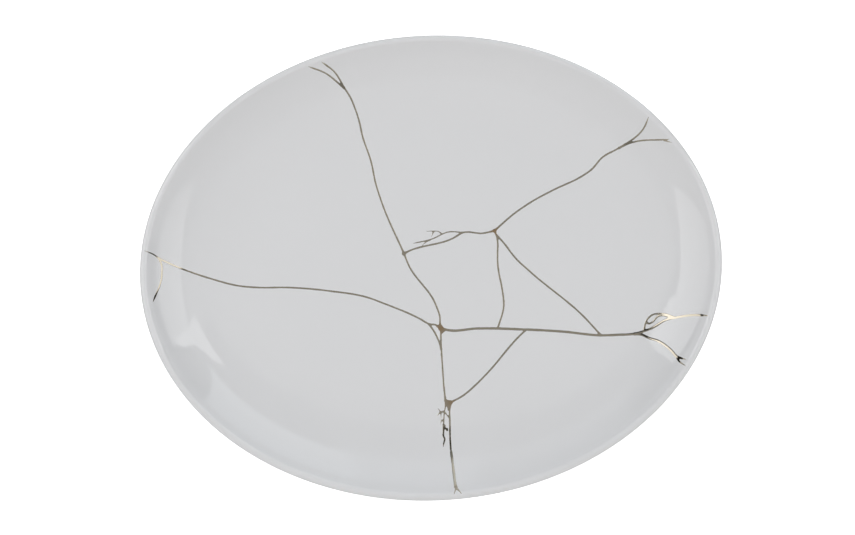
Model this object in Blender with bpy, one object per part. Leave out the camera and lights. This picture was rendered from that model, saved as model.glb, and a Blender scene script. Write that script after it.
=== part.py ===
"""Kintsugi oval plate: a shallow porcelain serving dish whose cracks are filled with gold.

The dish is one body with an oval outline, a flat well, a wall that curves up to a rounded lip,
and a foot ring of the same oval. The gold is one connected inlay. It lies in channels of the dish's
inner face, flush with the glaze, and it ends just short of the lip.
Metres, +Z up. The origin is on the table, under the middle of the dish.
"""
from math import asin, ceil, cos, pi, radians, sin

import bmesh
import bpy
from mathutils import Vector
from mathutils.geometry import interpolate_bezier

# The dish
LENGTH = 0.330
WIDTH = 0.270
WELL_FLOOR = 0.0072
WELL_THICKNESS = 0.0050
LIP_THICKNESS = 0.0048
FOOT_WIDTH = 0.0040
FOOT_INSET = 0.0465
FOOT_ROUNDING = 0.0006

# The inner face: how far in from the outline it reaches each slope
WELL_INSET = 0.050
CREASE_INSET = 0.042
CREASE_SLOPE = radians(6.5)
COVE_INSET = 0.025
COVE_SLOPE = radians(13)
LIP_SLOPE = radians(50)

# The gold
SEAM_WIDTH = 0.0012
WIDE_SEAM_WIDTH = 0.0016
POOL_WIDTH = 0.0024
HAIR_WIDTH = 0.0007
GOLD_DEPTH = 0.0006
GOLD_END_INSET = 0.0050
TIP_LENGTH = 0.003
TIP_SHARE = 0.4
CLEARANCE = 0.0003
BEAD_RADIUS = 0.0013

# How finely the round stretches are divided
OUTLINE_STEPS = 64
WALL_STEP = radians(8)
LIP_STEP = radians(36)
SEAM_STEP = 0.006
BEAD_SIDES = 12

# Heights that only have to clear the dish, for the bodies that cut it
CUTTER_HEIGHT = 0.12
CHANNEL_HEADROOM = 0.001

# The cracks, as shares of half the length and half the width. Each starts on another crack.
HEART = (0.020, -0.261)
CREST = (-0.091, 0.072)
BEND = (0.229, 0.148)
KNOT = (0.039, -0.579)
ROOT = (0.021, -0.572)
LEFT_FORK = (-0.936, 0.095)
RIGHT_FORK = (0.685, -0.335)
RIGHT_SPLIT = (0.818, -0.456)
RIGHT_EYE = (0.728, -0.288)
RIGHT_MEETING = (0.827, -0.282)
HIGH_FORK = (0.681, 0.473)
TOP_FORK = (-0.265, 0.808)
LOW_FORK = (0.036, -0.950)

# Each with its width and whether it ends in a free tip
CRACKS = (
    # From the crest up to the lip, with its fork
    (SEAM_WIDTH, True, (
        CREST, (-0.157, 0.298), (-0.176, 0.393), (-0.186, 0.479), (-0.212, 0.601), (-0.221, 0.669),
        (-0.235, 0.731), (-0.245, 0.765), TOP_FORK, (-0.297, 0.872), (-0.341, 0.908))),
    (SEAM_WIDTH, True, (TOP_FORK, (-0.330, 0.868), (-0.387, 0.889))),
    # From the crest down to the heart, and the pool of gold across it
    (SEAM_WIDTH, False, (CREST, (-0.077, 0.020), (0.008, -0.157), (0.020, -0.217), (0.019, -0.240), HEART)),
    (POOL_WIDTH, False, ((0.016, -0.248), (0.024, -0.272))),
    # From the heart to the left, with its fork
    (SEAM_WIDTH, True, (
        HEART, (0.006, -0.246), (-0.019, -0.239), (-0.049, -0.215), (-0.171, -0.139), (-0.222, -0.111),
        (-0.354, -0.072), (-0.499, -0.046), (-0.605, -0.038), (-0.658, -0.029), (-0.763, 0.010),
        (-0.868, 0.059), LEFT_FORK, (-0.952, 0.109), (-0.972, 0.117))),
    (SEAM_WIDTH, True, (LEFT_FORK, (-0.929, 0.076), (-0.928, 0.028), (-0.959, -0.098))),
    # The short one that passes the heart on its left
    (SEAM_WIDTH, False, ((-0.019, -0.239), (0.001, -0.283), (0.011, -0.316), (0.018, -0.352))),
    # From the heart to the right, thicker, with its forks and the two loops between them
    (WIDE_SEAM_WIDTH, True, (
        HEART, (0.052, -0.270), (0.142, -0.272), (0.299, -0.286), (0.440, -0.306), (0.574, -0.332),
        (0.626, -0.334), RIGHT_FORK, (0.716, -0.328), (0.742, -0.319), (0.803, -0.285),
        RIGHT_MEETING, (0.889, -0.283), (0.932, -0.299))),
    (WIDE_SEAM_WIDTH, True, (
        RIGHT_FORK, (0.714, -0.344), (0.732, -0.358), (0.763, -0.375), (0.802, -0.423), RIGHT_SPLIT,
        (0.844, -0.476))),
    (SEAM_WIDTH, True, (RIGHT_SPLIT, (0.840, -0.507))),
    (SEAM_WIDTH, False, (
        (0.719, -0.327), (0.723, -0.305), RIGHT_EYE, (0.752, -0.260), (0.783, -0.258), (0.797, -0.262),
        RIGHT_MEETING)),
    (HAIR_WIDTH, False, (RIGHT_EYE, (0.738, -0.297), (0.749, -0.292), (0.771, -0.268), RIGHT_MEETING)),
    # From the crest to the bend, and the two thin ones over it
    (SEAM_WIDTH, False, (CREST, (-0.076, 0.080), (0.083, 0.126), (0.119, 0.148), (0.189, 0.140), BEND)),
    (HAIR_WIDTH, True, ((0.119, 0.148), (0.072, 0.155), (0.007, 0.127), (-0.050, 0.118))),
    (HAIR_WIDTH, True, ((0.044, 0.144), (0.038, 0.157), (0.026, 0.164), (-0.001, 0.165))),
    # From the bend up to the lip on the right, with its fork
    (SEAM_WIDTH, True, (
        BEND, (0.297, 0.214), (0.360, 0.262), (0.439, 0.309), (0.549, 0.366), (0.581, 0.390),
        (0.624, 0.441), HIGH_FORK, (0.775, 0.547), (0.787, 0.577))),
    (SEAM_WIDTH, True, (HIGH_FORK, (0.722, 0.489), (0.749, 0.492), (0.852, 0.473))),
    # From the bend down to the thick one, straight and slanting
    (SEAM_WIDTH, False, (
        BEND, (0.237, 0.110), (0.234, 0.048), (0.234, -0.037), (0.241, -0.103), (0.243, -0.179),
        (0.216, -0.278))),
    (SEAM_WIDTH, False, (
        (0.235, 0.127), (0.262, 0.085), (0.294, 0.025), (0.343, -0.040), (0.519, -0.251), (0.570, -0.331))),
    # From the heart down to the root, which ends in the wall
    (SEAM_WIDTH, False, (HEART, (0.018, -0.352), (0.018, -0.440), (0.019, -0.525), ROOT)),
    (HAIR_WIDTH, True, (ROOT, (0.019, -0.597), (0.011, -0.650), (0.007, -0.704), (0.005, -0.760))),
    # From the thick one slanting down to the knot, and on to the lip beside the root
    (SEAM_WIDTH, False, (
        (0.314, -0.288), (0.286, -0.318), (0.168, -0.467), (0.129, -0.510), (0.080, -0.555), KNOT)),
    (SEAM_WIDTH, True, (
        KNOT, (0.035, -0.598), (0.031, -0.670), (0.028, -0.739), (0.033, -0.834), LOW_FORK,
        (0.030, -0.981))),
    (HAIR_WIDTH, True, (LOW_FORK, (0.051, -0.979))),
    # Across from the root to the knot
    (WIDE_SEAM_WIDTH, False, (ROOT, KNOT)),
)
BEADS = (HEART, CREST, BEND, KNOT)


def divided(start, end, step):
    """Values from start to end, evenly spaced, about `step` apart."""
    count = max(1, ceil(abs(end - start) / step - 1e-6))
    return [start + (end - start) * i / count for i in range(count + 1)]


def inner_face(end_inset):
    """(inset, height, slope) of the inner face from the well out to `end_inset`, arc after arc."""
    lip_inset = LIP_THICKNESS / 2 * (1 + sin(LIP_SLOPE))
    arcs = (
        (CREASE_INSET, CREASE_SLOPE),
        (COVE_INSET, COVE_SLOPE),
        (lip_inset, LIP_SLOPE),
    )
    face = [(WELL_INSET, WELL_FLOOR, 0.0)]
    for inset, slope in arcs:
        start_inset, start_height, start_slope = face[-1]
        radius = (start_inset - inset) / (sin(slope) - sin(start_slope))
        if inset < end_inset:
            slope = asin(sin(start_slope) + (start_inset - end_inset) / radius)
        for angle in divided(start_slope, slope, WALL_STEP)[1:]:
            across = radius * (sin(angle) - sin(start_slope))
            rise = radius * (cos(start_slope) - cos(angle))
            face.append((start_inset - across, start_height + rise, angle))
        if inset <= end_inset:
            break
    return face


def sunk(point, depth):
    """The place under a point of the inner face, `depth` down along its normal: (inset, height)."""
    inset, height, slope = point
    return inset - depth * sin(slope), height - depth * cos(slope)


def dish_profile():
    """(inset, height) from the well out over the lip, down the outside and round the foot ring."""
    face = inner_face(0.0)
    lip = face[-1]
    lip_inset, lip_height = sunk(lip, LIP_THICKNESS / 2)
    profile = [(inset, height) for inset, height, slope in face]
    inner_side = pi / 2 - LIP_SLOPE
    lip_turns = divided(inner_side, pi / 2, LIP_STEP) + divided(pi / 2, pi, LIP_STEP)[1:]
    for angle in lip_turns[1:] + [pi + inner_side]:
        radius = LIP_THICKNESS / 2
        profile.append((lip_inset + radius * cos(angle), lip_height + radius * sin(angle)))
    underside = WELL_FLOOR - WELL_THICKNESS
    for point in reversed(face[:-1]):
        thinned = (WELL_INSET - point[0]) / (WELL_INSET - lip[0])
        thickness = WELL_THICKNESS + (LIP_THICKNESS - WELL_THICKNESS) * thinned
        inset, height = sunk(point, thickness)
        if inset < FOOT_INSET - FOOT_ROUNDING:
            profile.append((inset, height))
    inner_edge = FOOT_INSET + FOOT_WIDTH
    profile += [
        (FOOT_INSET, underside),
        (FOOT_INSET, FOOT_ROUNDING),
        (FOOT_INSET + FOOT_ROUNDING, 0.0),
        (inner_edge - FOOT_ROUNDING, 0.0),
        (inner_edge, FOOT_ROUNDING),
        (inner_edge, underside),
    ]
    return profile


def slab_profile(top, bottom, end_inset):
    """(inset, height) of a layer that follows the inner face, from `top` to `bottom` deep."""
    face = inner_face(end_inset)
    upper = [sunk(point, top) for point in face]
    lower = [sunk(point, bottom) for point in reversed(face)]
    return upper + lower


def oval_ring(inset, height):
    """The outline moved in by `inset` everywhere, which a scaled oval isn't."""
    ring = []
    for step in range(OUTLINE_STEPS):
        angle = 2 * pi * step / OUTLINE_STEPS
        edge = Vector((LENGTH / 2 * cos(angle), WIDTH / 2 * sin(angle), height))
        outward = Vector((cos(angle) / LENGTH, sin(angle) / WIDTH, 0)).normalized()
        ring.append(edge - outward * inset)
    return ring


def new_material(name, color, roughness, metallic):
    material = bpy.data.materials.new(name)
    material.use_nodes = True
    shader = material.node_tree.nodes["Principled BSDF"]
    shader.inputs["Base Color"].default_value = (*color, 1)
    shader.inputs["Roughness"].default_value = roughness
    shader.inputs["Metallic"].default_value = metallic
    return material


def new_object(name, mesh, collection):
    made = bpy.data.objects.new(name, mesh)
    collection.objects.link(made)
    return made


def lofted(name, profile, collection):
    """A closed body through the ovals of a profile, capped at its first and its last."""
    shape = bmesh.new()
    rings = [[shape.verts.new(point) for point in oval_ring(*place)] for place in profile]
    shape.faces.new(rings[0])
    shape.faces.new(reversed(rings[-1]))
    for inner, outer in zip(rings, rings[1:]):
        for step in range(OUTLINE_STEPS):
            following = (step + 1) % OUTLINE_STEPS
            shape.faces.new((inner[step], outer[step], outer[following], inner[following]))
    mesh = bpy.data.meshes.new(name)
    shape.to_mesh(mesh)
    shape.free()
    return new_object(name, mesh, collection)


def smooth_line(shares):
    """The crack's line on the plan: one Bezier span from each point to the next."""
    points = [Vector((x * LENGTH / 2, y * WIDTH / 2, 0)) for x, y in shares]
    spans = [after - before for before, after in zip(points, points[1:])]
    tangents = [spans[0].normalized()]
    for before, after in zip(spans, spans[1:]):
        blend = before.normalized() * after.length + after.normalized() * before.length
        tangents.append(blend / (before.length + after.length))
    tangents.append(spans[-1].normalized())
    line = [points[0]]
    for i, span in enumerate(spans):
        reach = span.length / 3
        count = max(2, round(span.length / SEAM_STEP) + 1)
        line += interpolate_bezier(
            points[i], points[i] + tangents[i] * reach,
            points[i + 1] - tangents[i + 1] * reach, points[i + 1], count)[1:]
    return line


def ribbon_outline(line, width, has_tip, margin):
    """Both sides of a crack's line, drawn in towards its tip and widened by a margin."""
    last = len(line) - 1
    left, right = [], []
    for i, point in enumerate(line):
        along = (line[min(i + 1, last)] - line[max(i - 1, 0)]).normalized()
        across = Vector((-along.y, along.x, 0))
        share = 1.0
        if has_tip:
            to_tip = (line[last] - point).length
            share = min(1.0, TIP_SHARE + (1 - TIP_SHARE) * to_tip / TIP_LENGTH)
        if i == 0:
            point = point - along * margin
        if i == last:
            point = point + along * margin
        left.append(point + across * (width / 2 * share + margin))
        right.append(point - across * (width / 2 * share + margin))
    return left + right[::-1]


def upright_slab(name, outline, collection):
    """A flat outline raised to a slab through the whole height of the dish, as a mesh."""
    curve = bpy.data.curves.new(name, "CURVE")
    curve.dimensions = "2D"
    curve.fill_mode = "BOTH"
    curve.extrude = CUTTER_HEIGHT / 2
    spline = curve.splines.new("POLY")
    spline.points.add(len(outline) - 1)
    for place, point in zip(spline.points, outline):
        place.co = (point.x, point.y, 0, 1)
    spline.use_cyclic_u = True
    drawn = new_object(name, curve, collection)
    evaluated = drawn.evaluated_get(bpy.context.evaluated_depsgraph_get())
    mesh = bpy.data.meshes.new_from_object(evaluated)
    bpy.data.objects.remove(drawn)
    bpy.data.curves.remove(curve)
    shape = bmesh.new()
    shape.from_mesh(mesh)
    bmesh.ops.remove_doubles(shape, verts=shape.verts, dist=1e-6)
    bmesh.ops.recalc_face_normals(shape, faces=shape.faces)
    shape.to_mesh(mesh)
    shape.free()
    return new_object(name, mesh, collection)


def bead(name, share, radius, collection):
    """An upright cylinder where cracks meet, for the round drop of gold there."""
    shape = bmesh.new()
    bmesh.ops.create_cone(
        shape, cap_ends=True, segments=BEAD_SIDES, radius1=radius, radius2=radius, depth=CUTTER_HEIGHT)
    bmesh.ops.translate(shape, verts=shape.verts, vec=(share[0] * LENGTH / 2, share[1] * WIDTH / 2, 0))
    mesh = bpy.data.meshes.new(name)
    shape.to_mesh(mesh)
    shape.free()
    return new_object(name, mesh, collection)


def boolean(target, operation, cutter=None, group=None):
    modifier = target.modifiers.new(operation.title(), "BOOLEAN")
    modifier.operation = operation
    modifier.solver = "EXACT"
    if group:
        modifier.operand_type = "COLLECTION"
        modifier.collection = group
    else:
        modifier.object = cutter


def crack_network(name, margin, cutters):
    """All cracks and beads as one upright body, widened by a margin on every side."""
    group = bpy.data.collections.new(name + " pieces")
    cutters.children.link(group)
    pieces = []
    for number, (width, has_tip, shares) in enumerate(CRACKS):
        outline = ribbon_outline(smooth_line(shares), width, has_tip, margin)
        pieces.append(upright_slab(f"{name} {number}", outline, group))
    for number, share in enumerate(BEADS):
        pieces.append(bead(f"{name} bead {number}", share, BEAD_RADIUS + margin, group))
    first = pieces[0]
    group.objects.unlink(first)
    cutters.objects.link(first)
    first.name = name
    boolean(first, "UNION", group=group)
    return first


def hide_cutters(cutters):
    for cutter in cutters.all_objects:
        cutter.hide_render = True
        cutter.display_type = "WIRE"


def build():
    for old in list(bpy.data.objects):
        bpy.data.objects.remove(old)
    parts = bpy.data.collections.new("kintsugi oval plate")
    cutters = bpy.data.collections.new("cutters")
    bpy.context.scene.collection.children.link(parts)
    bpy.context.scene.collection.children.link(cutters)

    dish = lofted("porcelain_dish", dish_profile(), parts)
    channel_depth = GOLD_DEPTH + CLEARANCE
    channel_end = GOLD_END_INSET - CLEARANCE
    channel = lofted("channel", slab_profile(-CHANNEL_HEADROOM, channel_depth, channel_end), cutters)
    boolean(channel, "INTERSECT", cutter=crack_network("wide cracks", CLEARANCE, cutters))
    boolean(dish, "DIFFERENCE", cutter=channel)

    gold = lofted("gold_seams", slab_profile(0.0, GOLD_DEPTH, GOLD_END_INSET), parts)
    boolean(gold, "INTERSECT", cutter=crack_network("cracks", 0.0, cutters))

    dish.data.materials.append(new_material("porcelain glaze", (0.70, 0.71, 0.71), 0.12, 0.0))
    gold.data.materials.append(new_material("polished gold", (0.80, 0.62, 0.36), 0.22, 1.0))
    for piece in (dish, gold):
        piece.data.shade_smooth()
        piece.data.set_sharp_from_angle(angle=radians(40))
    hide_cutters(cutters)


build()
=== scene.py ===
# %% [markdown]
# # A kintsugi oval plate
# A shallow oval porcelain plate has cracked and been mended with gold. This lesson dresses the packed
# model: it makes the smooth glazed body, the poured gold in its cracks, the bare clay of the foot ring,
# and then a plain white studio with the camera where the photograph's camera stood.
# Everything is in metres, +Z up, with the origin on the table under the middle of the plate.

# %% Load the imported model
import math

import bmesh
import bpy
import numpy as np
from mathutils import Euler, Matrix, Vector, noise
from mathutils.geometry import interpolate_bezier


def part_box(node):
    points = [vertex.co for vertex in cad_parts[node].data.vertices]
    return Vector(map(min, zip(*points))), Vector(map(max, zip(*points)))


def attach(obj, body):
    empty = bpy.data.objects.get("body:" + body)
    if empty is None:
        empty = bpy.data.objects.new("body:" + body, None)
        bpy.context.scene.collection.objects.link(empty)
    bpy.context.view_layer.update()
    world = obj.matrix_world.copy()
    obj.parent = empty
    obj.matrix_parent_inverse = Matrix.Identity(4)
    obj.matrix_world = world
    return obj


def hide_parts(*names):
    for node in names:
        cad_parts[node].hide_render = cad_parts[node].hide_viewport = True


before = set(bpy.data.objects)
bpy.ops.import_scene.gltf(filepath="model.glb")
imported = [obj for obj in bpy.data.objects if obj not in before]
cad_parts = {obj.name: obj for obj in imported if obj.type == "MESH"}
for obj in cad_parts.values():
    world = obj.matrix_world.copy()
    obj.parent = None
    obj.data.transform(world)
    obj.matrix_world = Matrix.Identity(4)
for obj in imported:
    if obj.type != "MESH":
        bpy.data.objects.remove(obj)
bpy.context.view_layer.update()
dish_low, dish_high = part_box("porcelain_dish")
HALF_LENGTH = (dish_high.x - dish_low.x) / 2
HALF_WIDTH = (dish_high.y - dish_low.y) / 2
length_mm, width_mm, height_mm = 2000 * HALF_LENGTH, 2000 * HALF_WIDTH, 1000 * dish_high.z
print(f"the plate is {length_mm:.0f} by {width_mm:.0f} mm and {height_mm:.1f} mm high")

# %% [markdown]
# ## The section of the plate
# A plate like this is jiggered or cast, so its wall is a run of smooth arcs: a flat well, a soft crease,
# a slow cove, and a wall that turns up under a round lip. Cut through it anywhere and the section is the
# same, measured in from the outline. So the section is written once, as the slope reached at each inset,
# and the sine of the slope changes evenly between two of them, which makes each stretch an arc.

# %% The inner face as arcs
WELL_FLOOR = 0.0072
WELL_THICKNESS = 0.0050
LIP_RADIUS = 0.0024
LIP_SLOPE = math.radians(50)
WELL_INSET = 0.050
FINE_STEP = math.radians(0.05)
ROLL_PLACES = 60
ARCS = (
    (0.042, math.radians(6.5)),
    (0.025, math.radians(13)),
    (LIP_RADIUS * (1 + math.sin(LIP_SLOPE)), LIP_SLOPE),
)


def inner_face(step):
    """Inset, height and slope along the inner face, from the well's edge to the lip."""
    face = [(WELL_INSET, WELL_FLOOR, 0.0)]
    for inset, slope in ARCS:
        start_inset, start_height, start_slope = face[-1]
        radius = (start_inset - inset) / (math.sin(slope) - math.sin(start_slope))
        count = math.ceil((slope - start_slope) / step)
        for angle in np.linspace(start_slope, slope, count + 1)[1:]:
            across = radius * (math.sin(angle) - math.sin(start_slope))
            rise = radius * (math.cos(start_slope) - math.cos(angle))
            face.append((start_inset - across, start_height + rise, angle))
    return np.array(face)


def lip_centre(face):
    """Inset and height of the middle of the round lip that the inner face runs into."""
    inset, height = face[-1, :2]
    return inset - LIP_RADIUS * math.sin(LIP_SLOPE), height - LIP_RADIUS * math.cos(LIP_SLOPE)


def with_lip(face):
    """The inner face carried on over the round lip to its top, for the gold that climbs it."""
    angles = np.linspace(LIP_SLOPE, 0, ROLL_PLACES)[1:]
    inset, height = lip_centre(face)
    roll = (inset + LIP_RADIUS * np.sin(angles), height + LIP_RADIUS * np.cos(angles), angles)
    return np.vstack([face, np.column_stack(roll)])


fine_face = with_lip(inner_face(FINE_STEP))
print(f"the wall rises {1000 * (fine_face[-1, 1] - WELL_FLOOR):.1f} mm over {len(fine_face)} fine steps")

# %% [markdown]
# ## From the outline inwards
# A scaled oval has a wall that is wider at its ends than at its sides. The real wall is as wide all
# round, so each ring of the mesh is a parallel curve: the outline's own points, moved in along the
# outline's normal. Closer to the middle the rings may simply shrink, because the well is flat there.

# %% Rings of the plate
RING_POINTS = 384
MIDDLE_RINGS = 9


def outline(angles):
    """Places on the outline and its outward normals."""
    edge = np.stack([HALF_LENGTH * np.cos(angles), HALF_WIDTH * np.sin(angles)], axis=-1)
    normal = np.stack([np.cos(angles) / HALF_LENGTH, np.sin(angles) / HALF_WIDTH], axis=-1)
    return edge, normal / np.linalg.norm(normal, axis=-1, keepdims=True)


def ring(inset, height):
    """One ring of the mesh, parallel to the outline."""
    edge, normal = outline(np.arange(RING_POINTS) * 2 * math.pi / RING_POINTS)
    flat = edge - normal * inset
    return np.column_stack([flat, np.full(RING_POINTS, height)])


def shrinking_rings(widest):
    """Rings from near the middle out to, but not with, the widest one."""
    shares = np.arange(1, MIDDLE_RINGS + 1) / (MIDDLE_RINGS + 1)
    return [widest * (share, share, 1) for share in shares]


print(f"the widest ring is {np.ptp(ring(0, 0)[:, 0]) * 1000:.1f} mm long")

# %% [markdown]
# ## The foot ring
# The plate stands on a low oval ring. Its bottom edge is rounded with a sponge before firing, and wiped
# clean of glaze so that the plate doesn't fuse to the kiln shelf. The photograph doesn't show it, so it
# is the plain kind that such plates have.

# %% The whole profile, lip and foot included
FOOT_INSET = 0.0465
FOOT_WIDTH = 0.0040
FOOT_ROUNDING = 0.0006
FOOT_FILLET = 0.0012
WALL_STEP = math.radians(1.2)
LIP_PLACES = 9
CORNER_PLACES = 5


def round_corner(centre, radius, start, end, count=CORNER_PLACES):
    """Places on an arc of a section, from one angle to the other."""
    angles = np.radians(np.linspace(start, end, count))
    return [(centre[0] + radius * math.cos(a), centre[1] + radius * math.sin(a)) for a in angles]


def plate_profile():
    """Inset and height from the well's edge over the lip, down the outside and round the foot."""
    face = inner_face(WALL_STEP)
    profile = [(inset, height) for inset, height, slope in face]
    side = 90 - math.degrees(LIP_SLOPE)
    profile += round_corner(lip_centre(face), LIP_RADIUS, side, 90, LIP_PLACES)[1:]
    profile += round_corner(lip_centre(face), LIP_RADIUS, 90, 180 + side, LIP_PLACES)[1:]
    for inset, height, slope in face[-2::-1]:
        thinned = (WELL_INSET - inset) / (WELL_INSET - face[-1, 0])
        thickness = WELL_THICKNESS + (2 * LIP_RADIUS - WELL_THICKNESS) * thinned
        outer = (inset - thickness * math.sin(slope), height - thickness * math.cos(slope))
        if outer[0] < FOOT_INSET - FOOT_FILLET:
            profile.append(outer)
    under = WELL_FLOOR - WELL_THICKNESS
    inner_edge = FOOT_INSET + FOOT_WIDTH
    profile += round_corner((FOOT_INSET - FOOT_FILLET, under - FOOT_FILLET), FOOT_FILLET, 90, 0)[1:]
    profile += round_corner((FOOT_INSET + FOOT_ROUNDING, FOOT_ROUNDING), FOOT_ROUNDING, 180, 270)
    profile += round_corner((inner_edge - FOOT_ROUNDING, FOOT_ROUNDING), FOOT_ROUNDING, 270, 360)
    profile += round_corner((inner_edge + FOOT_FILLET, under - FOOT_FILLET), FOOT_FILLET, 180, 90)
    return profile


profile = plate_profile()
print(f"the profile has {len(profile)} places and its foot is {FOOT_WIDTH * 1000:.0f} mm wide")

# %% [markdown]
# ## The body as one mesh
# The rings are joined into quads with bmesh and closed with a fan in the middle of the well and another
# under it. A Subdivision Surface on a coarse cage would also be smooth, but its rings would drift off
# the arcs, and the light that runs along this wall shows every drift.

# %% Build the porcelain
BARE_HEIGHT = 0.0005


def put_in_scene(name, data):
    """A new object that shows this data, linked to the scene."""
    item = bpy.data.objects.new(name, data)
    bpy.context.scene.collection.objects.link(item)
    return item


def close_middle(shape, centre_place, ring_verts, upwards):
    """Fan from a middle point to the innermost ring."""
    centre = shape.verts.new(centre_place)
    for step in range(RING_POINTS):
        pair = (ring_verts[step], ring_verts[(step + 1) % RING_POINTS])
        shape.faces.new((centre, *pair) if upwards else (centre, *pair[::-1]))


def build_porcelain(profile):
    """The dish as quads between its rings, with the rim under its foot marked as bare clay."""
    section = [ring(*place) for place in profile]
    rings = shrinking_rings(section[0]) + section + shrinking_rings(section[-1])[::-1]
    shape = bmesh.new()
    rows = [[shape.verts.new(place) for place in row] for row in rings]
    for inner, outer in zip(rows, rows[1:]):
        for step in range(RING_POINTS):
            after = (step + 1) % RING_POINTS
            face = shape.faces.new((inner[step], outer[step], outer[after], inner[after]))
            face.material_index = int(all(vert.co.z < BARE_HEIGHT for vert in face.verts))
    close_middle(shape, (0, 0, rings[0][0][2]), rows[0], True)
    close_middle(shape, (0, 0, rings[-1][0][2]), rows[-1], False)
    mesh = bpy.data.meshes.new("porcelain_plate")
    shape.to_mesh(mesh)
    shape.free()
    mesh.shade_smooth()
    return put_in_scene("porcelain_plate", mesh)


plate = build_porcelain(profile)
bare = sum(face.material_index for face in plate.data.polygons)
print(f"{len(plate.data.polygons)} faces, {bare} of them bare clay")
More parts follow.
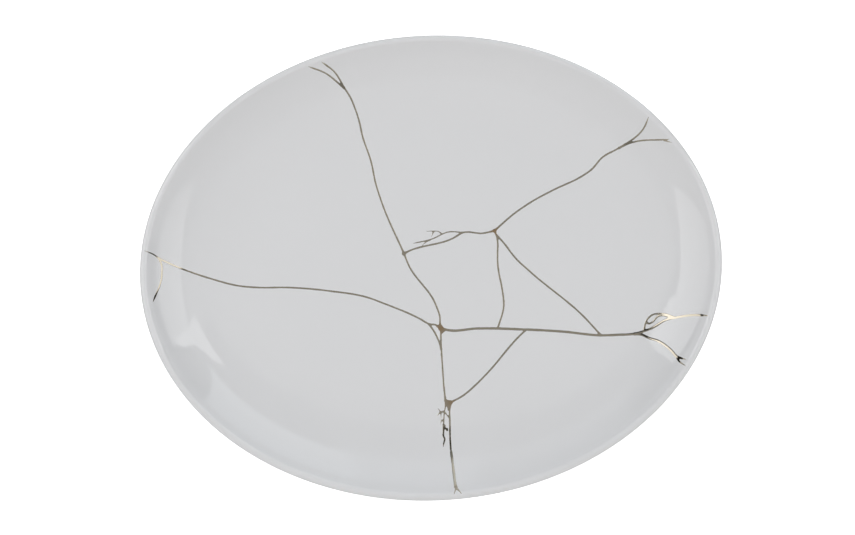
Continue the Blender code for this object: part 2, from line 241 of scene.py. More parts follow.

# %% [markdown]
# ## Where the cracks run
# The cracks are a free form, so their places are given one by one, as shares of half the plate's length
# and half its width. Every crack but the first starts on another, so the gold is one connected network.
# Each has a width, and says whether it ends in a free tip, which thins out, or runs into another.

# %% The crack network
SEAM = 0.00118
POOL = 0.0024
WIDE_SEAM = 0.0016
WIDE_HAIR = 0.00090
HAIR = 0.00068
HEART = (0.020, -0.261)
CREST = (-0.091, 0.072)
BEND = (0.229, 0.148)
KNOT = (0.039, -0.579)
ROOT = (0.021, -0.572)
LEFT_FORK = (-0.936, 0.095)
RIGHT_FORK = (0.685, -0.335)
RIGHT_SPLIT = (0.818, -0.456)
RIGHT_EYE = (0.728, -0.288)
RIGHT_MEETING = (0.827, -0.282)
HIGH_FORK = (0.681, 0.473)
TOP_FORK = (-0.265, 0.808)
LOW_FORK = (0.036, -0.950)
ROOT_TOP = (0.015, -0.616)
CRACKS = {
    "top": (SEAM, True, (
        CREST, (-0.157, 0.298), (-0.176, 0.393), (-0.186, 0.479), (-0.212, 0.601), (-0.221, 0.669),
        (-0.235, 0.731), (-0.245, 0.765), TOP_FORK, (-0.297, 0.872), (-0.341, 0.908))),
    "top fork": (SEAM, True, (TOP_FORK, (-0.330, 0.868), (-0.387, 0.889))),
    "middle": (SEAM, False, (
        CREST, (-0.077, 0.020), (0.008, -0.157), (0.020, -0.217), (0.019, -0.240), HEART)),
    "heart pool": (POOL, False, ((0.013, -0.245), (0.032, -0.277))),
    "left": (SEAM, False, (
        HEART, (0.006, -0.246), (-0.019, -0.239), (-0.049, -0.215), (-0.171, -0.139), (-0.222, -0.111),
        (-0.354, -0.072), (-0.499, -0.046), (-0.605, -0.038), (-0.658, -0.029), (-0.763, 0.010),
        (-0.868, 0.059), LEFT_FORK)),
    "left tip": (WIDE_HAIR, True, (LEFT_FORK, (-0.952, 0.109), (-0.972, 0.117), (-0.981, 0.121))),
    "left fork": (SEAM, True, (LEFT_FORK, (-0.929, 0.076), (-0.928, 0.028), (-0.959, -0.098))),
    "left to low": (SEAM, False, ((-0.019, -0.239), (0.001, -0.283), (0.011, -0.316), (0.018, -0.352))),
    "right": (WIDE_SEAM, True, (
        HEART, (0.052, -0.272), (0.142, -0.271), (0.299, -0.286), (0.440, -0.306), (0.574, -0.332),
        (0.626, -0.334), RIGHT_FORK, (0.716, -0.328), (0.742, -0.319), (0.803, -0.285),
        RIGHT_MEETING, (0.889, -0.283), (0.932, -0.299))),
    "right low": (WIDE_SEAM, True, (
        RIGHT_FORK, (0.714, -0.344), (0.732, -0.358), (0.763, -0.375), (0.802, -0.423), RIGHT_SPLIT,
        (0.844, -0.476))),
    "right low tip": (SEAM, True, (RIGHT_SPLIT, (0.820, -0.471), (0.840, -0.507))),
    "right loop": (SEAM, False, (
        (0.719, -0.327), (0.723, -0.305), RIGHT_EYE, (0.752, -0.260), (0.783, -0.258), (0.797, -0.262),
        RIGHT_MEETING)),
    "right inner loop": (SEAM, False, (
        RIGHT_EYE, (0.738, -0.297), (0.749, -0.292), (0.771, -0.268), RIGHT_MEETING)),
    "bridge": (SEAM, False, (
        CREST, (-0.076, 0.080), (0.083, 0.126), (0.119, 0.148), (0.189, 0.140), BEND)),
    "bridge upper": (WIDE_HAIR, True, (
        (0.119, 0.148), (0.072, 0.155), (0.007, 0.127), (-0.060, 0.113))),
    "bridge twig": (HAIR, True, ((0.044, 0.149), (0.034, 0.159), (0.018, 0.162), (-0.012, 0.163))),
    "bridge twig side": (WIDE_HAIR, True, ((0.017, 0.162), (0.011, 0.146), (0.008, 0.138))),
    "bridge barb": (WIDE_HAIR, True, (
        (0.003, 0.125), (-0.009, 0.119), (-0.019, 0.110), (-0.026, 0.103))),
    "high": (SEAM, True, (
        BEND, (0.297, 0.214), (0.360, 0.262), (0.439, 0.309), (0.549, 0.366), (0.581, 0.390),
        (0.624, 0.441), HIGH_FORK, (0.775, 0.547), (0.787, 0.577))),
    "high fork": (SEAM, True, (HIGH_FORK, (0.722, 0.489), (0.749, 0.492), (0.852, 0.473))),
    "high fork tip": (WIDE_HAIR, True, ((0.834, 0.475), (0.862, 0.456))),
    "drop": (SEAM, False, (
        BEND, (0.236, 0.118), (0.237, 0.096), (0.234, 0.048), (0.232, 0.000), (0.234, -0.037),
        (0.241, -0.103), (0.243, -0.179), (0.216, -0.278))),
    "slant": (SEAM, False, (
        (0.235, 0.127), (0.247, 0.110), (0.262, 0.085), (0.278, 0.054), (0.294, 0.025), (0.343, -0.040),
        (0.519, -0.251), (0.570, -0.331))),
    "low": (SEAM, False, (HEART, (0.018, -0.352), (0.018, -0.440), (0.019, -0.525), ROOT)),
    "root": (WIDE_HAIR, True, (
        ROOT, (0.019, -0.597), ROOT_TOP, (0.012, -0.642), (0.010, -0.662), (0.0087, -0.684),
        (0.0075, -0.703), (0.006, -0.718), (0.010, -0.733), (0.0055, -0.752), (0.0035, -0.770))),
    "root end": (SEAM, True, (
        (0.010, -0.670), (0.0087, -0.684), (0.0075, -0.703), (0.006, -0.718), (0.010, -0.733),
        (0.0055, -0.752), (0.0035, -0.768))),
    "root link": (HAIR, False, (ROOT_TOP, (0.023, -0.631), (0.032, -0.648))),
    "root star": (WIDE_HAIR, True, (ROOT_TOP, (0.002, -0.6155), (-0.007, -0.598))),
    "root star tail": (WIDE_HAIR, True, ((0.002, -0.6155), (-0.011, -0.634))),
    "root star hair": (HAIR, True, ((0.003, -0.613), (0.002, -0.652))),
    "root twig": (HAIR, True, ((0.011, -0.650), (0.003, -0.655), (0.000, -0.676))),
    "root barb": (HAIR, False, ((0.0087, -0.690), (0.013, -0.687), (0.0175, -0.693), (0.0215, -0.700))),
    "root barb spike": (HAIR, False, ((0.0135, -0.674), (0.013, -0.687))),
    "root barb fork": (HAIR, False, ((0.020, -0.686), (0.0205, -0.699))),
    "low slant": (SEAM, False, (
        (0.314, -0.288), (0.286, -0.318), (0.168, -0.467), (0.129, -0.510), (0.080, -0.555), KNOT)),
    "knot": (WIDE_SEAM, False, (ROOT, KNOT)),
    "knot web": (SEAM, False, ((0.027, -0.582), (0.031, -0.612))),
    "lowest": (SEAM, True, (
        KNOT, (0.035, -0.598), (0.031, -0.670), (0.0285, -0.735), (0.0285, -0.781), (0.0311, -0.837),
        (0.0338, -0.912), LOW_FORK, (0.028, -0.981))),
    "low end": (WIDE_SEAM, True, (
        LOW_FORK, (0.0338, -0.912), (0.0326, -0.871), (0.0311, -0.837), (0.0285, -0.770))),
    "low tip": (SEAM, True, (LOW_FORK, (0.054, -0.981))),
}
print(f"{len(CRACKS)} cracks through {sum(len(route) for width, tip, route in CRACKS.values())} places")

# %% [markdown]
# ## Laying a line on the curved face
# The routes are flat, like a drawing on the plan. To bring a place onto the plate, its inset from the
# outline has to be known, and an ellipse has no closed formula for that: Newton's method finds the
# nearest point of the outline in a few steps. The section then gives the height and the slope there.

# %% Insets, heights and slopes at any place
NEWTON_STEPS = 12
MIDDLE_SHARE = 0.5


def nearest_on_outline(flat):
    """The angle of the outline's point nearest each place, and the inset there."""
    x, y = np.abs(flat[:, 0]), np.abs(flat[:, 1])
    spread = HALF_LENGTH ** 2 - HALF_WIDTH ** 2
    angle = np.arctan2(y * HALF_LENGTH, x * HALF_WIDTH)
    for _ in range(NEWTON_STEPS):
        sine, cosine = np.sin(angle), np.cos(angle)
        error = spread * cosine * sine - x * HALF_LENGTH * sine + y * HALF_WIDTH * cosine
        change = spread * (cosine ** 2 - sine ** 2) - x * HALF_LENGTH * cosine - y * HALF_WIDTH * sine
        angle = np.clip(angle - error / change, 0, math.pi / 2)
    angle = np.arctan2(np.sin(angle) * np.sign(flat[:, 1]), np.cos(angle) * np.sign(flat[:, 0]))
    edge, normal = outline(angle)
    return angle, np.sum((edge - flat) * normal, axis=1)


def on_face(inset):
    """Height and slope of the inner face at an inset; the well is flat."""
    height = np.interp(inset, fine_face[::-1, 0], fine_face[::-1, 1])
    slope = np.interp(inset, fine_face[::-1, 0], fine_face[::-1, 2])
    return height, slope


def well_middle(flat):
    """True where the parallel curves would cross: far in, where the well is flat anyway."""
    return (flat[:, 0] / HALF_LENGTH) ** 2 + (flat[:, 1] / HALF_WIDTH) ** 2 < MIDDLE_SHARE ** 2


def laid(flat):
    """The heights of places given on the plan."""
    inset = nearest_on_outline(flat)[1]
    inset = np.where(well_middle(flat), WELL_INSET, inset)
    return on_face(inset)[0]


near_end = np.array([[HALF_LENGTH - 0.01, 0.0001]])
print(f"a place 10 mm from the end of the plate is {1000 * laid(near_end)[0]:.1f} mm up")

# %% [markdown]
# ## Gold as poured lines
# Lacquer and gold powder are laid along the crack with a fine brush. The line swells and thins a little,
# it pools where lines meet, and it tapers out at a free end. Each crack becomes a curve with its own
# radius at every point, all of them splines of one curve object whose bevel gives them their thickness.

# %% Brush the lines
LINE_STEP = 0.0008
SWELL = 0.12
SWELL_LENGTH = 0.004
POOL_SHARE = 0.55
POOL_LENGTH = 0.0013
TIP_LENGTH = 0.0032
TIP_SHARE = 0.4
BEAD_SIZES = {HEART: 0.0015, CREST: 0.0013, BEND: 0.0012, KNOT: 0.0011}


def smooth_route(shares):
    """The route on the plan in metres: one Bezier span from each chosen place to the next."""
    points = [Vector((x * HALF_LENGTH, y * HALF_WIDTH, 0)) for x, y in shares]
    spans = [after - before for before, after in zip(points, points[1:])]
    tangents = [spans[0].normalized()]
    for before, after in zip(spans, spans[1:]):
        blend = before.normalized() * after.length + after.normalized() * before.length
        tangents.append(blend / (before.length + after.length))
    tangents.append(spans[-1].normalized())
    line = [points[0]]
    for start, end, leaving, arriving in zip(points, points[1:], tangents, tangents[1:]):
        length = (end - start).length
        reach = length / 3
        count = max(2, round(length / LINE_STEP) + 1)
        line += interpolate_bezier(
            start, start + leaving * reach, end - arriving * reach, end, count)[1:]
    return line


def brush_radii(line, width, has_tip):
    """The radius at each point: a slow swell, a pool at each join and a taper at a free tip."""
    radii = []
    for point in line:
        swell = 1 + SWELL * noise.noise(point / SWELL_LENGTH)
        from_start = (point - line[0]).length
        from_end = (point - line[-1]).length
        pool = math.exp(-from_start / POOL_LENGTH)
        taper = 1.0
        if has_tip:
            taper = min(1.0, TIP_SHARE + (1 - TIP_SHARE) * from_end / TIP_LENGTH)
        else:
            pool += math.exp(-from_end / POOL_LENGTH)
        radii.append(width / 2 * swell * taper * (1 + POOL_SHARE * pool))
    return radii


def brushed_lines():
    """A curve object with one spline for each crack, lying on the face."""
    curve = bpy.data.curves.new("gold lines", "CURVE")
    curve.dimensions = "3D"
    curve.bevel_depth = 1.0
    curve.bevel_resolution = 3
    curve.use_fill_caps = True
    for width, has_tip, shares in CRACKS.values():
        line = smooth_route(shares)
        heights = laid(np.array([(point.x, point.y) for point in line]))
        spline = curve.splines.new("POLY")
        spline.points.add(len(line) - 1)
        radii = brush_radii(line, width, has_tip)
        for place, point, height, radius in zip(spline.points, line, heights, radii):
            place.co = (point.x, point.y, height, 1)
            place.radius = radius
    return put_in_scene("gold lines", curve)


lines = brushed_lines()
print(f"{len(lines.data.splines)} brushed lines")

# %% [markdown]
# ## Letting the lines run together
# Wet lacquer closes the corner where two lines meet. A Boolean union would leave that corner sharp, so
# the tubes and a drop at each main join are remeshed into one skin with a fine voxel size and smoothed,
# which fills the corners with small webs.

# %% Fuse the lines
VOXEL = 0.00026
SMOOTH_PASSES = 5
MERGE_DISTANCE = 1e-7


def evaluated_mesh(item):
    """A new mesh of the object as its bevel or its modifiers leave it."""
    evaluated = item.evaluated_get(bpy.context.evaluated_depsgraph_get())
    return bpy.data.meshes.new_from_object(evaluated)


def fused_gold(lines):
    """One skin round all the lines, with a drop of gold at each main join."""
    mesh = evaluated_mesh(lines)
    curve = lines.data
    bpy.data.objects.remove(lines)
    bpy.data.curves.remove(curve)
    shape = bmesh.new()
    shape.from_mesh(mesh)
    for (x, y), radius in BEAD_SIZES.items():
        flat = (x * HALF_LENGTH, y * HALF_WIDTH)
        place = Matrix.Translation((*flat, laid(np.array([flat]))[0]))
        bmesh.ops.create_icosphere(shape, subdivisions=3, radius=radius, matrix=place)
    bmesh.ops.remove_doubles(shape, verts=shape.verts, dist=MERGE_DISTANCE)
    shape.to_mesh(mesh)
    shape.free()
    gold = put_in_scene("gold_repair", mesh)
    remesh = gold.modifiers.new("Fuse", "REMESH")
    remesh.mode = "VOXEL"
    remesh.voxel_size = VOXEL
    smooth = gold.modifiers.new("Webs", "SMOOTH")
    smooth.factor = 0.5
    smooth.iterations = SMOOTH_PASSES
    fused = evaluated_mesh(gold)
    gold.modifiers.clear()
    gold.data = fused
    bpy.data.meshes.remove(mesh)
    fused.name = "gold_repair"
    return gold


gold = fused_gold(lines)
print(f"the gold is one skin of {len(gold.data.polygons)} faces")

# %% [markdown]
# ## Levelling the gold
# Finished kintsugi is burnished level with the glaze, so that a finger hardly feels it. The fused skin
# is still as tall as it is wide. Each of its points is measured along the face's normal and brought
# down to a small share of its height, which leaves the edge in place and a low crown in the middle.

# %% Press the gold down onto the face
CROWN_SHARE = 0.045
BURIED_SHARE = 0.5
DROP_STEPS = 4


def vertex_places(mesh):
    """The places of all the vertices, one row each."""
    places = np.empty(len(mesh.vertices) * 3, np.float32)
    mesh.vertices.foreach_get("co", places)
    return places.reshape(-1, 3)


def press_down(gold):
    """Bring every point nearer to the face below it, and give the height that is left."""
    mesh = gold.data
    places = vertex_places(mesh).astype(float)
    angle, inset = nearest_on_outline(places[:, :2])
    middle = well_middle(places[:, :2])
    inset = np.where(middle, WELL_INSET, inset)
    foot = inset
    for _ in range(DROP_STEPS):
        height, slope = on_face(foot)
        above = (places[:, 2] - height) * np.cos(slope) + (inset - foot) * np.sin(slope)
        foot = inset - above * np.sin(slope)
    height, slope = on_face(foot)
    above = (places[:, 2] - height) / np.cos(slope)
    pressed = np.where(above > 0, above * CROWN_SHARE, above * BURIED_SHARE)
    edge, normal = outline(angle)
    moved = edge - normal * (foot + pressed * np.sin(slope))[:, None]
    places[:, :2] = np.where(middle[:, None], places[:, :2], moved)
    places[:, 2] = height + pressed * np.cos(slope)
    mesh.vertices.foreach_set("co", places.astype(np.float32).ravel())
    mesh.update()
    mesh.shade_smooth()
    return pressed.max()


crown = press_down(gold)
print(f"the gold stands {1000 * crown:.2f} mm proud at most")

# %% [markdown]
# ## Warmer where it pooled
# Where the lacquer pooled in a join, more of its red-brown shows through the gold powder. Each vertex
# keeps how near it is to such a join, as an attribute that the gold's material can read.

# %% Mark the pools
POOLS = {HEART: 1.0, KNOT: 0.7, BEND: 0.9}
POOL_REACH = 0.0026


def mark_pools(gold):
    """Keep each vertex's nearness to a pool as an attribute, and give the nearness."""
    flat = vertex_places(gold.data)[:, :2]
    nearness = np.zeros(len(flat))
    for (x, y), strength in POOLS.items():
        away = np.linalg.norm(flat - (x * HALF_LENGTH, y * HALF_WIDTH), axis=1)
        nearness = np.maximum(nearness, strength * np.exp(-(away / POOL_REACH) ** 2))
    gold.data.attributes.new("pool", "FLOAT", "POINT").data.foreach_set("value", nearness)
    return nearness


nearness = mark_pools(gold)
print(f"{(nearness > nearness.max() / 2).sum()} vertices lie well inside a pool")

# %% [markdown]
# ## A shader group for unevenness
# No fired or burnished surface is even: the glaze pools, the clay is grainy, the gold keeps the stroke
# of the burnisher. All three use one node group, which gives a slow cloud, a fine grain and a height
# that mixes both, each with its own scale, so that one idea is built once and set three times.

# %% Build the unevenness group


def unevenness_group():
    """Two noises in the object's own coordinates, put out one by one and mixed."""
    group = bpy.data.node_groups.new("surface unevenness", "ShaderNodeTree")
    sockets = group.interface
    for label, value in (("Cloud Scale", 20.0), ("Grain Scale", 400.0), ("Grain Share", 0.5)):
        socket = sockets.new_socket(label, in_out="INPUT", socket_type="NodeSocketFloat")
        socket.default_value = value
    for label in ("Cloud", "Grain", "Height"):
        sockets.new_socket(label, in_out="OUTPUT", socket_type="NodeSocketFloat")
    nodes, links = group.nodes, group.links
    entry = nodes.new("NodeGroupInput")
    leave = nodes.new("NodeGroupOutput")
    where = nodes.new("ShaderNodeTexCoord")
    cloud = nodes.new("ShaderNodeTexNoise")
    cloud.inputs["Detail"].default_value = 2.0
    grain = nodes.new("ShaderNodeTexNoise")
    grain.inputs["Detail"].default_value = 3.0
    links.new(where.outputs["Object"], cloud.inputs["Vector"])
    links.new(where.outputs["Object"], grain.inputs["Vector"])
    links.new(entry.outputs["Cloud Scale"], cloud.inputs["Scale"])
    links.new(entry.outputs["Grain Scale"], grain.inputs["Scale"])
    blend = nodes.new("ShaderNodeMix")
    links.new(entry.outputs["Grain Share"], blend.inputs["Factor"])
    links.new(cloud.outputs["Fac"], blend.inputs["A"])
    links.new(grain.outputs["Fac"], blend.inputs["B"])
    links.new(cloud.outputs["Fac"], leave.inputs["Cloud"])
    links.new(grain.outputs["Fac"], leave.inputs["Grain"])
    links.new(blend.outputs["Result"], leave.inputs["Height"])
    return group


unevenness = unevenness_group()
outputs = [item.name for item in unevenness.interface.items_tree if item.in_out == "OUTPUT"]
print(f"the group gives {', '.join(outputs)}")

# %% [markdown]
# ## Glaze and bare clay
# The porcelain is a cool pale grey-white under a clear glassy glaze, and the foot's rim is matt fired
# clay. All the finishes share their plumbing: a cloud blends two colours, a grain moves the roughness,
# and the height feeds a small bump. One function lays that out, and what makes each finish itself is its
# own values on the Principled shader.

# %% Finish the porcelain


def new_finish(name, dark, light, rough_low, rough_high, scales, bump_depth, values):
    """A Principled material whose colour, roughness and bump come from the unevenness group."""
    material = bpy.data.materials.new(name)
    material.use_nodes = True
    nodes, links = material.node_tree.nodes, material.node_tree.links
    shader = nodes["Principled BSDF"]
    surface = nodes.new("ShaderNodeGroup")
    surface.node_tree = unevenness
    for label, value in zip(("Cloud Scale", "Grain Scale", "Grain Share"), scales):
        surface.inputs[label].default_value = value
    colour = nodes.new("ShaderNodeMix")
    colour.data_type = "RGBA"
    colour.inputs["A"].default_value = (*dark, 1)
    colour.inputs["B"].default_value = (*light, 1)
    links.new(surface.outputs["Cloud"], colour.inputs["Factor"])
    links.new(colour.outputs["Result"], shader.inputs["Base Color"])
    roughness = nodes.new("ShaderNodeMapRange")
    roughness.inputs["To Min"].default_value = rough_low
    roughness.inputs["To Max"].default_value = rough_high
    links.new(surface.outputs["Grain"], roughness.inputs["Value"])
    links.new(roughness.outputs["Result"], shader.inputs["Roughness"])
    bump = nodes.new("ShaderNodeBump")
    bump.inputs["Strength"].default_value = 1.0
    bump.inputs["Distance"].default_value = bump_depth
    links.new(surface.outputs["Height"], bump.inputs["Height"])
    links.new(bump.outputs["Normal"], shader.inputs["Normal"])
    for socket, value in values.items():
        shader.inputs[socket].default_value = value
    return material


glaze = new_finish(
    "porcelain glaze", (0.718, 0.718, 0.725), (0.730, 0.729, 0.735), 0.01, 0.02,
    (22.0, 900.0, 0.12), 0.00001, {"IOR": 1.5})
clay = new_finish(
    "bare fired clay", (0.62, 0.60, 0.57), (0.74, 0.72, 0.69), 0.75, 0.95,
    (90.0, 2600.0, 0.7), 0.00006, {"IOR": 1.45})
plate.data.materials.append(glaze)
plate.data.materials.append(clay)
print(f"the plate is finished with {glaze.name} and {clay.name}")

# %% [markdown]
# ## Pale gold, browner in the pools
# The gold is soft and pale, burnished but not mirror-bright. It is laid out like the other finishes.
# Then an Attribute node reads how near each place is to a pool and blends a browner colour over it: a
# second material on those faces would end in a hard line, and the attribute fades.

# %% Finish the gold
POOL_COLOUR = (0.46, 0.32, 0.19)


def warm_the_pools(material, warm):
    """Blend a warmer colour over the gold's own, by the vertices' nearness to a pool."""
    nodes, links = material.node_tree.nodes, material.node_tree.links
    base = nodes["Principled BSDF"].inputs["Base Color"]
    pool = nodes.new("ShaderNodeAttribute")
    pool.attribute_name = "pool"
    blend = nodes.new("ShaderNodeMix")
    blend.data_type = "RGBA"
    links.new(pool.outputs["Fac"], blend.inputs["Factor"])
    links.new(base.links[0].from_socket, blend.inputs["A"])
    blend.inputs["B"].default_value = (*warm, 1)
    links.new(blend.outputs["Result"], base)


gilding = new_finish(
    "burnished gold", (0.44, 0.402, 0.33), (0.54, 0.494, 0.405), 0.04, 0.08,
    (60.0, 2200.0, 0.5), 0.00001, {"Metallic": 1.0})
warm_the_pools(gilding, POOL_COLOUR)
gold.data.materials.append(gilding)
print(f"the gold is finished with {gilding.name}")

# %% [markdown]
# ## What belongs where
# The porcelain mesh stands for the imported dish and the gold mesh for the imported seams. Both ride on the
# one body, because nothing on a plate moves.

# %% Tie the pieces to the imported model
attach(plate, "root")
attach(gold, "root")
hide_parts("porcelain_dish")
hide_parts("gold_seams")
print("the plate and its gold ride on the root body")

# %% [markdown]
# ## A white table
# The photograph is a product picture on pure white. The table is plain white paper to the light that
# bounces off it, and glows only for the camera, so that the plate's shadow doesn't grey the picture and
# the glow doesn't creep up under the lip.

# %% The floor
FLOOR_SIZE = 4.0
FLOOR_GLOW = 0.85


def white_table():
    """A square of white paper that glows for the camera alone."""
    shape = bmesh.new()
    bmesh.ops.create_grid(shape, x_segments=1, y_segments=1, size=FLOOR_SIZE / 2)
    mesh = bpy.data.meshes.new("white_table")
    shape.to_mesh(mesh)
    shape.free()
    table = put_in_scene("white_table", mesh)
    material = bpy.data.materials.new("white paper")
    material.use_nodes = True
    nodes, links = material.node_tree.nodes, material.node_tree.links
    shader = nodes["Principled BSDF"]
    shader.inputs["Base Color"].default_value = (0.72, 0.72, 0.72, 1)
    shader.inputs["Roughness"].default_value = 0.9
    shader.inputs["Emission Color"].default_value = (1, 1, 1, 1)
    ray = nodes.new("ShaderNodeLightPath")
    glow = nodes.new("ShaderNodeMath")
    glow.operation = "MULTIPLY"
    glow.inputs[1].default_value = FLOOR_GLOW
    links.new(ray.outputs["Is Camera Ray"], glow.inputs[0])
    links.new(glow.outputs[0], shader.inputs["Emission Strength"])
    mesh.materials.append(material)


white_table()
print(f"a white table {FLOOR_SIZE:.0f} m wide")

# %% [markdown]
# ## The room in the glaze
# Glaze shows the room it stands in, while the light that falls on the clay below it only shades the
# form. The two are set apart here, so that each can be matched to the photograph. First comes the room:
# a world with a ceiling, dark gaps and a light behind, painted as levels by elevation, with zones laid
# over them by azimuth. An image of a studio would be a file to carry, and its levels couldn't be set
# one by one.

# %% Paint the room
HORIZON = (0.70, 0.70, 0.70)
FRONT = (0.50, 0.50, 0.50)
SHADE = (0.30, 0.30, 0.30)
CEILING = (0.46, 0.46, 0.46)
DARK = (0.02, 0.02, 0.02)
DUSK = (0.12, 0.12, 0.12)
BACK_LIGHT = (1.28, 1.36, 1.42)
BACK_SIDE = (0.90, 0.95, 1.00)
BACK_EDGE = (0.62, 0.65, 0.68)
BACK_SHADE = (0.47, 0.50, 0.52)
ALL_ROUND = ((6, HORIZON), (20, FRONT), (50, FRONT), (57, SHADE), (67, SHADE), (72, CEILING))
ZONES = (
    ((0, 34), ((13, DARK), (16, FRONT), (57, SHADE), (67, SHADE), (72, CEILING))),
    ((34, 50), ((55, DARK), (60, CEILING))),
    ((50, 78), ((49, BACK_LIGHT), (53, DARK), (68, DARK), (69, CEILING))),
    ((78, 93), ((40, BACK_SIDE), (54, BACK_EDGE), (60, DUSK), (70, DUSK), (71.5, CEILING))),
    ((93, 117), ((50, BACK_SHADE), (54, DARK), (66, DARK), (67, CEILING))),
    ((117, 147), ((66, DARK), (67, CEILING))),
)


def height_ramp(tree, height, stops):
    """Colour by the sine of the elevation: (elevation in degrees, colour) from the table up."""
    ramp = tree.nodes.new("ShaderNodeValToRGB")
    elements = ramp.color_ramp.elements
    while len(elements) < len(stops):
        elements.new(1.0)
    for element, (elevation, colour) in zip(elements, stops):
        element.position = math.sin(math.radians(elevation))
        element.color = (*colour, 1)
    tree.links.new(height, ramp.inputs["Fac"])
    return ramp.outputs["Color"]


def maths(tree, operation, *values):
    """A Math node; each value is a number or another node's output."""
    node = tree.nodes.new("ShaderNodeMath")
    node.operation = operation
    for socket, value in zip(node.inputs, values):
        if isinstance(value, float):
            socket.default_value = value
        else:
            tree.links.new(value, socket)
    return node.outputs[0]


def between(tree, turn, azimuths):
    """1 between two azimuths, given in degrees, and 0 elsewhere."""
    start, end = (math.radians(azimuth) for azimuth in azimuths)
    return maths(tree, "COMPARE", turn, (start + end) / 2, (end - start) / 2)


def dim_room():
    """A world with the same levels all round, and the zones laid over them."""
    world = bpy.data.worlds.new("dim room")
    world.use_nodes = True
    tree = world.node_tree
    where = tree.nodes.new("ShaderNodeTexCoord")
    split = tree.nodes.new("ShaderNodeSeparateXYZ")
    tree.links.new(where.outputs["Generated"], split.inputs["Vector"])
    turn = maths(tree, "ARCTAN2", split.outputs["Y"], split.outputs["X"])
    height = split.outputs["Z"]
    colour = height_ramp(tree, height, ALL_ROUND)
    for azimuths, stops in ZONES:
        blend = tree.nodes.new("ShaderNodeMix")
        blend.data_type = "RGBA"
        tree.links.new(between(tree, turn, azimuths), blend.inputs["Factor"])
        tree.links.new(colour, blend.inputs["A"])
        tree.links.new(height_ramp(tree, height, stops), blend.inputs["B"])
        colour = blend.outputs["Result"]
    tree.links.new(colour, tree.nodes["Background"].inputs["Color"])
    bpy.context.scene.world = world


dim_room()
print(f"a dim room with {len(ZONES)} zones")

# %% [markdown]
# ## Softboxes for the form
# Four softboxes light the plate and aren't mirrored in it. A lamp's energy is a power, so a wider lamp
# of the same energy looks dimmer. Each is therefore set by its brightness: an area light sends out pi
# times as much power from each square metre.

# %% Place the softboxes


def direction_to(azimuth, elevation):
    """The unit vector towards an azimuth and an elevation in degrees."""
    azimuth, elevation = math.radians(azimuth), math.radians(elevation)
    flat = math.cos(elevation)
    return Vector((math.cos(azimuth) * flat, math.sin(azimuth) * flat, math.sin(elevation)))


def softbox(name, direction, distance, size, brightness):
    """A rectangular light that looks at the plate and isn't mirrored in it."""
    towards = direction_to(*direction)
    light = bpy.data.lights.new(name, "AREA")
    light.shape = "RECTANGLE"
    light.size, light.size_y = size
    light.energy = brightness * math.pi * size[0] * size[1]
    lamp = put_in_scene(name, light)
    lamp.location = towards * distance
    lamp.rotation_euler = towards.to_track_quat("Z", "Y").to_euler()
    lamp.visible_glossy = False
    return lamp


softboxes = [
    softbox("right softbox", (10, 43), 1.2, (0.95, 1.05), 1.00),
    softbox("left softbox", (155, 40), 1.2, (0.80, 1.20), 1.47),
    softbox("front fill", (-93, 30), 1.6, (1.4, 1.0), 0.92),
    softbox("top softbox", (-93, 80), 1.6, (1.0, 1.0), 1.04),
]
print(f"{len(softboxes)} softboxes of {sum(lamp.data.energy for lamp in softboxes):.1f} W in all")

# %% [markdown]
# ## Cards in the curved walls
# The bright shapes in the walls at the left and the right are pictures of wide panels beside the plate.
# They are made as glowing cards that only the glaze and the gold see. A mirror shows directions, so each
# card's outline is given as directions from the plate, and it hangs so far off that they are nearly the
# same from every place on it.

# %% Hang the cards
CARD_DISTANCE = 12.0
RIGHT_CARD = (
    (35, 14), (34, 27), (35, 40), (39, 56), (24, 59.5), (12, 60), (354, 52), (338, 41), (340, 32),
    (344, 24), (354, 20), (13, 17))
LEFT_CARD = (
    (189, 43), (187, 35), (183, 23), (178, 13), (166, 9), (153, 7), (142, 7), (130.3, 13), (129.9, 24),
    (128.5, 37), (125.4, 48), (121.4, 57.4), (116.4, 64.2), (121, 64.4), (124, 64.8), (130, 65),
    (137, 60), (148, 60), (157, 60), (165, 58), (179, 52))
CARD_EDGE = (
    (34, 19), (37, 28), (39.5, 40), (43, 50), (54, 60), (60, 63), (45, 65), (39, 55), (35, 40), (34, 27))


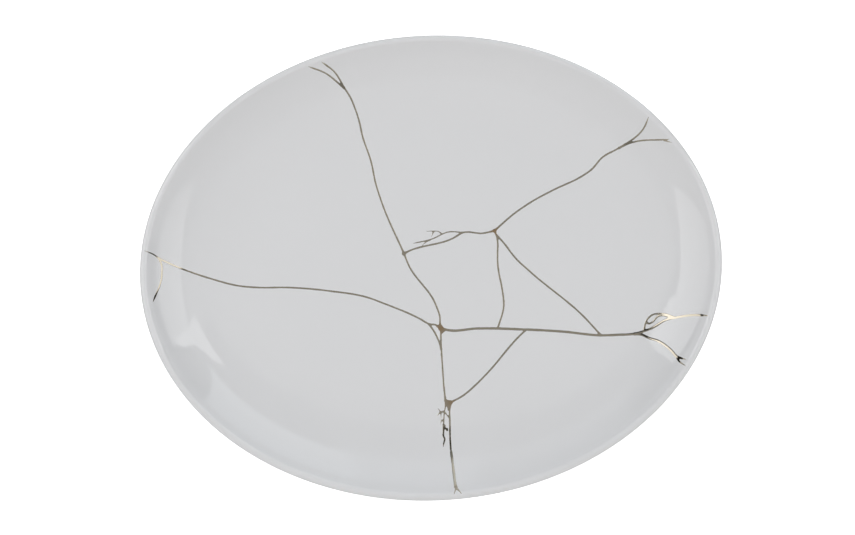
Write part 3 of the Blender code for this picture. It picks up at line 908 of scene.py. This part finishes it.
def mirrored_card(name, corners, foot, top, front_share):
    """A glowing card that only the glaze and the gold see.

    Its corners are directions from the plate, as an azimuth and an elevation in degrees. Its glow goes
    from one level at its foot to another at its top, and falls to a share of that at its front end.
    """
    rays = [direction_to(*corner) for corner in corners]
    middle = sum(rays, Vector()).normalized()
    places = [ray * CARD_DISTANCE / ray.dot(middle) for ray in rays]
    mesh = bpy.data.meshes.new(name)
    mesh.from_pydata(places, [], [range(len(places))])
    card = put_in_scene(name, mesh)
    material = bpy.data.materials.new(name)
    material.use_nodes = True
    tree = material.node_tree
    shader = tree.nodes["Principled BSDF"]
    shader.inputs["Base Color"].default_value = (0, 0, 0, 1)
    shader.inputs["Emission Color"].default_value = (1, 1, 1, 1)
    where = tree.nodes.new("ShaderNodeNewGeometry")
    split = tree.nodes.new("ShaderNodeSeparateXYZ")
    tree.links.new(where.outputs["Position"], split.inputs["Vector"])
    shares = []
    for axis, start, end in ((1, front_share, 1.0), (2, foot, top)):
        level = tree.nodes.new("ShaderNodeMapRange")
        level.inputs["From Min"].default_value = min(place[axis] for place in places)
        level.inputs["From Max"].default_value = max(place[axis] for place in places)
        level.inputs["To Min"].default_value = start
        level.inputs["To Max"].default_value = end
        tree.links.new(split.outputs["XYZ"[axis]], level.inputs["Value"])
        shares.append(level.outputs["Result"])
    tree.links.new(maths(tree, "MULTIPLY", *shares), shader.inputs["Emission Strength"])
    mesh.materials.append(material)
    card.visible_camera = card.visible_diffuse = card.visible_shadow = False


mirrored_card("right card", RIGHT_CARD, 1.6, 1.9, 0.72)
mirrored_card("left card", LEFT_CARD, 1.35, 2.3, 0.85)
mirrored_card("card edge", CARD_EDGE, 3.0, 2.1, 1.0)
corner_count = len(RIGHT_CARD) + len(LEFT_CARD) + len(CARD_EDGE)
print(f"3 cards with {corner_count} corners, {CARD_DISTANCE:.0f} m away")

# %% [markdown]
# ## The camera
# The outline's ellipse in the photograph fixes the view: the plate is seen from 77 degrees above the
# table, turned three degrees, with a long lens from 1.3 m away. Standard colour keeps white white.

# %% Place the camera
CAMERA_TURN = -3.465
CAMERA_RISE = 77.308
CAMERA_DISTANCE = 1.3
CAMERA_LENS = 96.5
CAMERA_AIM = Vector((-0.0022, -0.0022, 0.02))

camera_data = bpy.data.cameras.new("camera")
camera_data.lens = CAMERA_LENS
camera = put_in_scene("camera", camera_data)
camera.rotation_euler = Euler((math.radians(90 - CAMERA_RISE), 0, math.radians(CAMERA_TURN)))
back = camera.rotation_euler.to_matrix() @ Vector((0, 0, 1))
camera.location = CAMERA_AIM + back * CAMERA_DISTANCE
bpy.context.scene.camera = camera
bpy.context.scene.view_settings.view_transform = "Standard"
print(f"the camera stands at {tuple(round(value, 3) for value in camera.location)}")
